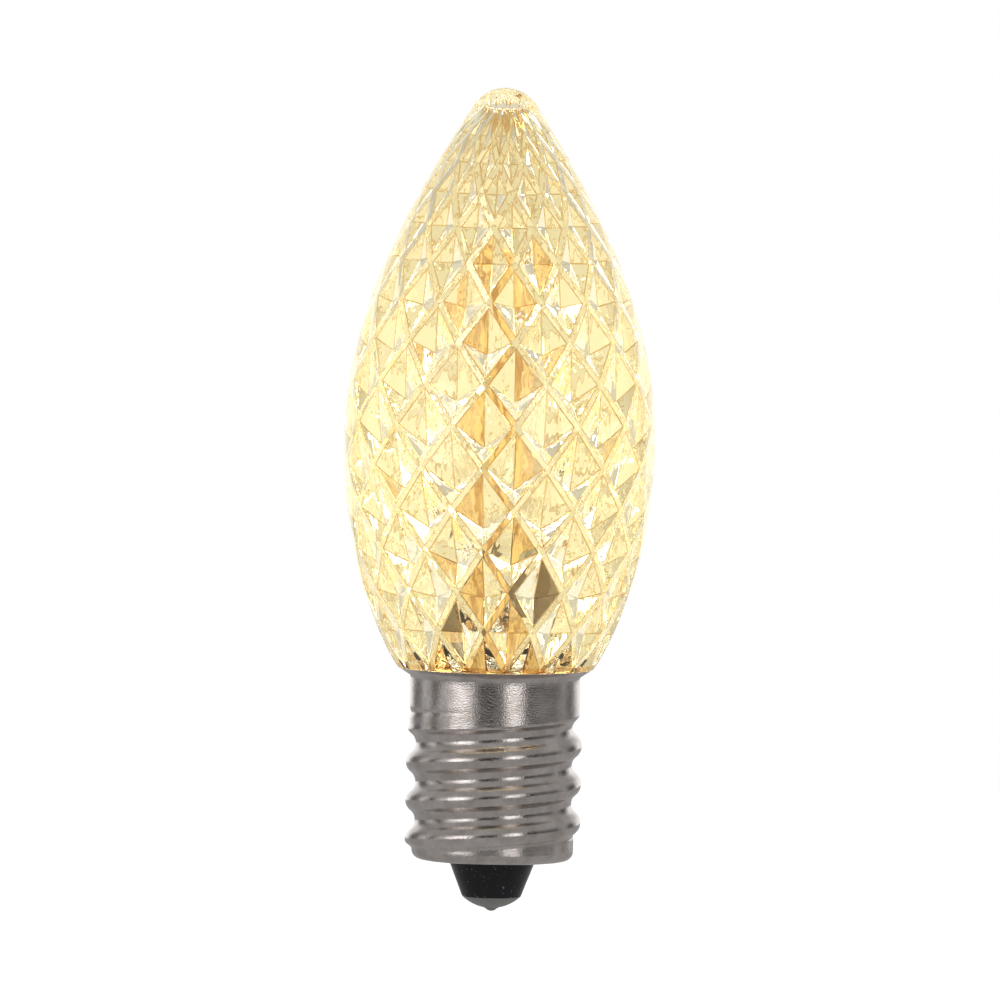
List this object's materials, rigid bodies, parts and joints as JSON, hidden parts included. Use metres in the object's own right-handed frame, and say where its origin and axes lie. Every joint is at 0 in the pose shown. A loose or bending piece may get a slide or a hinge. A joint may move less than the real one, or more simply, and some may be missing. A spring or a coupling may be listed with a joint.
{
  "type": "christmas light bulb",
  "caption": "Screw-in festoon bulb: a clear flame-shaped lens with facets on its inside over a lit circuit board, on a rolled screw shell with a centre contact.",
  "frame": {"origin": "lowest point of the centre contact's solder bead, on the axis of the screw shell", "axes": "+Z along the bulb's axis from the contact to the tip of the lens; -Y is the side seen in the picture, where the board stands edge on"},
  "size_m": [0.0206, 0.0206, 0.0544],
  "materials": {
    "lens": "clear plastic, smooth outside",
    "screw_shell": "nickel-plated brass sheet, rolled",
    "insulator": "glossy black",
    "centre_contact": "tinned brass",
    "solder": "solder",
    "resin_plug": "cast potting resin",
    "circuit_board": "laminate with solder mask",
    "led": "white moulded frame",
    "phosphor": "silicone with phosphor, lit",
    "rectifier": "moulded black",
    "leads": "tinned",
    "resistor": "black coat"
  },
  "bodies": {
    "root": {"lens": "lens", "screw_shell": "screw_shell", "insulator": "insulator", "centre_contact": "centre_contact", "contact_solder": "solder", "resin_plug": "resin_plug", "circuit_board": "circuit_board", "led_1": "led", "led_2": "led", "led_3": "led", "led_4": "led", "phosphor_1": "phosphor", "phosphor_2": "phosphor", "phosphor_3": "phosphor", "phosphor_4": "phosphor", "rectifier": "rectifier", "rectifier_leads": "leads", "resistor_1": "resistor", "resistor_2": "resistor", "resistor_3": "resistor", "contact_lead": "leads", "shell_lead": "leads", "shell_solder": "solder", "board_solder": "solder"}
  },
  "joints": []
}
